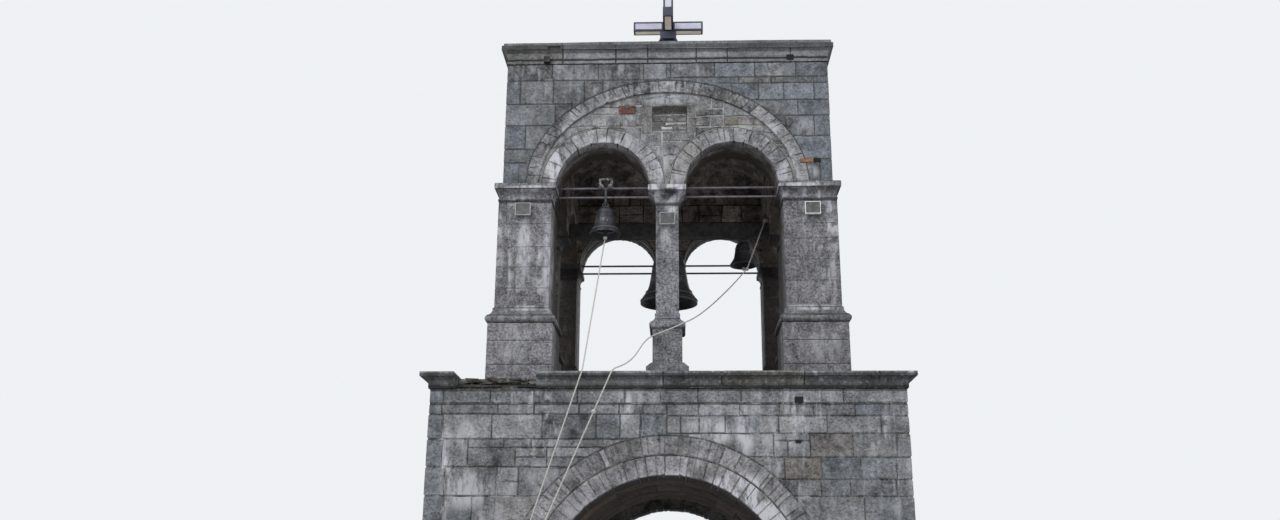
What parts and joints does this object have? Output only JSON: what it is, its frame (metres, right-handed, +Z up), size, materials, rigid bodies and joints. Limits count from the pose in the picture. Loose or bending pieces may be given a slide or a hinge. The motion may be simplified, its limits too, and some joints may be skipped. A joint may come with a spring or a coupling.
{
  "type": "stone bell tower over an arched gateway",
  "caption": "Square schist bell tower standing over a round arched gateway, with an open vaulted belfry, hanging bells and an illuminated cross on its roof",
  "frame": {"origin": "on the ground under the middle of the tower", "axes": "+Z up, -Y towards the front with the niche, +X to the right seen from the front"},
  "size_m": [5.43, 5.4738, 10.135],
  "materials": {
    "schist_wall": "rough",
    "arch_stone": "rough",
    "pier_stone": "rough",
    "moulded_stone": "rough",
    "vault_stone": "rough",
    "roof_stone": "rough",
    "rubble": "rough",
    "iron": "weathered",
    "timber": "weathered",
    "bell_bronze": "dark patina",
    "cross_metal": "satin",
    "light_panel": "translucent",
    "lamp_metal": "satin",
    "rope": "twisted"
  },
  "bodies": {
    "root": {"arch_rings_back": "arch_stone", "arch_rings_front": "arch_stone", "arch_rings_left": "arch_stone", "arch_rings_right": "arch_stone", "band_course": "schist_wall", "belfry_floor": "vault_stone", "belfry_vault": "vault_stone", "bell_beam": "timber", "clappers": "iron", "column_back": "pier_stone", "column_front": "pier_stone", "column_left": "pier_stone", "column_right": "pier_stone", "cornice_bracket": "iron", "cross_frame": "cross_metal", "cross_panels": "light_panel", "cross_stand": "cross_metal", "floodlights": "lamp_metal", "gate_back_inner_ring": "arch_stone", "gate_back_outer_ring": "arch_stone", "gate_back_spandrel": "schist_wall", "gate_front_inner_ring": "arch_stone", "gate_front_outer_ring": "arch_stone", "gate_front_spandrel": "schist_wall", "gate_left_wall": "schist_wall", "gate_right_wall": "schist_wall", "great_bell": "bell_bronze", "ledge_back": "moulded_stone", "ledge_front": "moulded_stone", "ledge_front_left": "moulded_stone", "ledge_left": "moulded_stone", "ledge_right": "moulded_stone", "ledge_rubble": "rubble", "left_bell": "bell_bronze", "niche_frame": "arch_stone", "passage_vault": "vault_stone", "pedestal_back_left": "pier_stone", "pedestal_back_right": "pier_stone", "pedestal_front_left": "pier_stone", "pedestal_front_right": "pier_stone", "pier_back_left": "pier_stone", "pier_back_right": "pier_stone", "pier_front_left": "pier_stone", "pier_front_right": "pier_stone", "right_bell": "bell_bronze", "roof": "roof_stone", "roof_cap": "roof_stone", "rope_irons": "iron", "rope_knots": "rope", "rope_left": "rope", "rope_right": "rope", "rope_tie": "rope", "rope_upper": "rope", "tie_rods": "iron", "top_cornice": "moulded_stone", "upper_wall_back": "schist_wall", "upper_wall_front": "schist_wall", "upper_wall_left": "schist_wall", "upper_wall_right": "schist_wall", "wall_head": "schist_wall"}
  },
  "joints": []
}
